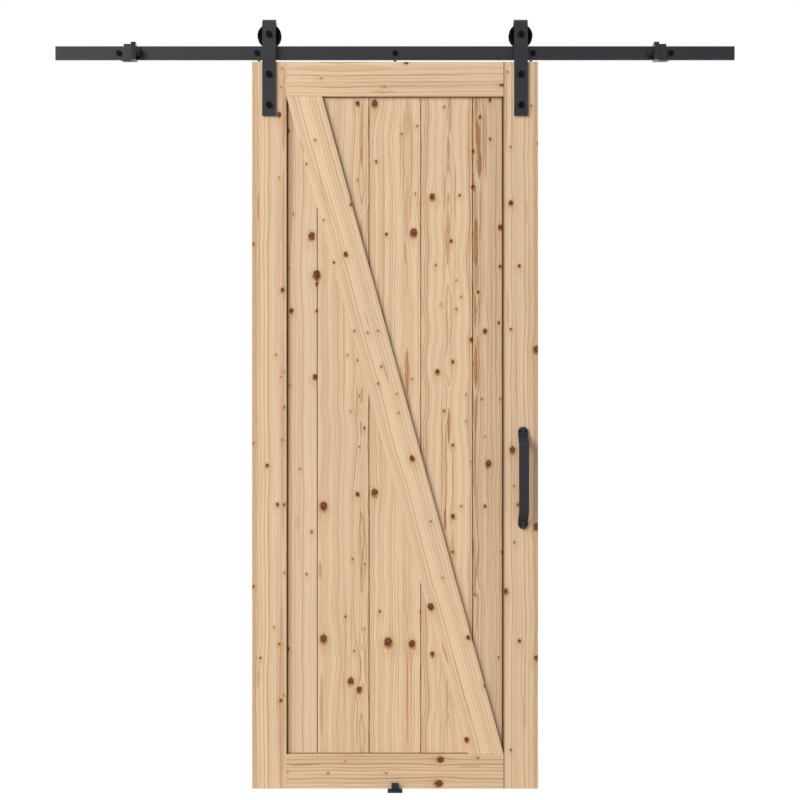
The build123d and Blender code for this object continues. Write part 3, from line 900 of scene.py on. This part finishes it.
def domed_screw(corners):
    """Points and faces of a screw of the same size as its corners, with a domed head and a cross drive."""
    left, right = min(c.x for c in corners), max(c.x for c in corners)
    bottom, top = min(c.z for c in corners), max(c.z for c in corners)
    axis = Vector(((left + right) / 2, 0, (bottom + top) / 2))
    radius = (right - left) / 2
    shank = min((c - axis).xz.length for c in corners)
    head = [c.y for c in corners if (c - axis).xz.length > (shank + radius) / 2]
    seat, height, tip = max(head), max(head) - min(head), max(c.y for c in corners)
    angles = [tau * step / HEAD_STEPS for step in range(HEAD_STEPS)]
    points = []
    for ring in range(HEAD_RINGS):
        share = ring / HEAD_RINGS
        for angle in angles:
            across, up = share * cos(angle), share * sin(angle)
            rise = 1.0 - DOME_FALL * share ** DOME_POWER - DRIVE_DEPTH * drive_depth(across, up)
            points.append(axis + Vector((radius * across, seat - height * rise, radius * up)))
    for reach, depth in ((radius, seat), (shank, seat), (shank, tip)):
        points += [axis + Vector((reach * cos(a), depth, reach * sin(a))) for a in angles]
    faces = []
    for start in range(0, len(points) - HEAD_STEPS, HEAD_STEPS):
        for step in range(HEAD_STEPS):
            here, there = start + step, start + (step + 1) % HEAD_STEPS
            faces.append((here, there, there + HEAD_STEPS, here + HEAD_STEPS))
    faces.append(tuple(range(len(points) - HEAD_STEPS, len(points))))
    return points, faces


def handle_screw_heads():
    """The handle's screws with domed heads and cross drives, in place of the plain ones."""
    points, faces = [], []
    for corners in screws_of(nodes["handle_screws"]):
        screw_points, screw_faces = domed_screw(corners)
        faces += [tuple(len(points) + corner for corner in face) for face in screw_faces]
        points += screw_points
    heads = add_piece("handle_screw_heads", points, faces, "door", OXIDE)
    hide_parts("handle_screws")


for number in range(1, LAG_SCREWS + 1):
    lag_thread(number)
handle_screw_heads()


# Stage, light and camera, in metres, with the lens and its sensor in millimetres

FLOOR_SIZE = 9.0
FLOOR_ALBEDO = 0.88
FLOOR_SHADOW = 0.2
FLOOR_WHITE = 1.18
WORLD_LIGHT = 0.22
KEY_FROM = Vector((-0.66, -0.57, 0.49))
KEY_DISTANCE = 12.0
KEY_SIZE = 7.0
KEY_IRRADIANCE = 3.1
PANEL_PLACE = Vector((-4.4, -3.6, 1.4))
PANEL_AIM = Vector((0, 0, 0))
PANEL_SIZE = 4.0
PANEL_RADIANCE = 0.1
BACK_PLACE = Vector((3.0, 6.0, 1.0))
BACK_SIZE = 5.0
BACK_RADIANCE = 2.0

CAMERA_DISTANCE = 4.270
CAMERA_DROP = 1.257
CAMERA_LENS = 65.27
SENSOR_WIDTH = 36.0
SHIFT_X = 0.00625
SHIFT_Y = 0.10


def seen_directly(tree):
    """1 for rays that show the background itself, 0 for those that carry its light."""
    path = tree.node("ShaderNodeLightPath").outputs
    shown = tree.math("ADD", path["Is Camera Ray"], path["Is Glossy Ray"], clamp=True)
    return tree.math("ADD", shown, path["Is Transmission Ray"], clamp=True)


def pale_floor():
    """White where it is seen, with part of its own shading left in so that it keeps the door's shadow."""
    material = bpy.data.materials.new("pale_floor")
    material.use_nodes = True
    material.node_tree.nodes.clear()
    tree = Tree(material.node_tree)
    matt = tree.node("ShaderNodeBsdfDiffuse", {"Color": grey(FLOOR_ALBEDO)}).outputs[0]
    white = tree.node("ShaderNodeEmission", {"Color": grey(1.0), "Strength": FLOOR_WHITE}).outputs[0]
    share = tree.math("MULTIPLY", seen_directly(tree), 1.0 - FLOOR_SHADOW)
    mixed = tree.node("ShaderNodeMixShader", {0: share, 1: matt, 2: white}).outputs[0]
    tree.node("ShaderNodeOutputMaterial", {"Surface": mixed})
    return material


def make_floor():
    half = FLOOR_SIZE / 2
    corners = [(x, y, floor_height) for x, y in ((-half, -half), (half, -half), (half, half), (-half, half))]
    mesh = bpy.data.meshes.new("floor")
    mesh.from_pydata(corners, [], [(0, 1, 2, 3)])
    mesh.materials.append(pale_floor())
    floor = bpy.data.objects.new("floor", mesh)
    bpy.context.scene.collection.objects.link(floor)


def make_world():
    world = bpy.data.worlds.new("studio")
    bpy.context.scene.world = world
    world.use_nodes = True
    world.node_tree.nodes.clear()
    tree = Tree(world.node_tree)
    strength = tree.math("MULTIPLY_ADD", seen_directly(tree), 1.0 - WORLD_LIGHT, WORLD_LIGHT)
    light = tree.node("ShaderNodeBackground", {"Color": grey(1.0), "Strength": strength}).outputs[0]
    tree.node("ShaderNodeOutputWorld", {"Surface": light})


def make_lamp(name, place, target, size, power):
    """A square soft box at a place, aimed at the target and not itself in the picture."""
    lamp = bpy.data.lights.new(name, "AREA")
    lamp.shape = "SQUARE"
    lamp.size = size
    lamp.energy = power
    box = bpy.data.objects.new(name, lamp)
    box.location = place
    box.rotation_euler = (place - target).to_track_quat("Z", "Y").to_euler()
    box.visible_camera = False
    bpy.context.scene.collection.objects.link(box)


def make_lights():
    """A high soft key from the upper left, a wide dim panel at the left and a soft fill for the back."""
    middle = (cad_box[0] + cad_box[1]) / 2
    key_power = KEY_IRRADIANCE * pi * KEY_DISTANCE ** 2
    make_lamp("key", middle + KEY_FROM * KEY_DISTANCE, middle, KEY_SIZE, key_power)
    panel_power = PANEL_RADIANCE * pi * PANEL_SIZE ** 2
    make_lamp("left_panel", PANEL_PLACE, PANEL_AIM, PANEL_SIZE, panel_power)
    back_power = BACK_RADIANCE * pi * BACK_SIZE ** 2
    make_lamp("back_fill", BACK_PLACE, middle, BACK_SIZE, back_power)


def make_camera():
    data = bpy.data.cameras.new("camera")
    data.sensor_width = SENSOR_WIDTH
    data.lens = CAMERA_LENS
    data.shift_x = SHIFT_X
    data.shift_y = SHIFT_Y
    camera = bpy.data.objects.new("camera", data)
    camera.location = (0, rail_front - CAMERA_DISTANCE, -CAMERA_DROP)
    camera.rotation_euler = (pi / 2, 0, 0)
    bpy.context.scene.collection.objects.link(camera)
    bpy.context.scene.camera = camera


make_floor()
make_world()
make_lights()
make_camera()
bpy.context.scene.view_settings.view_transform = "Standard"
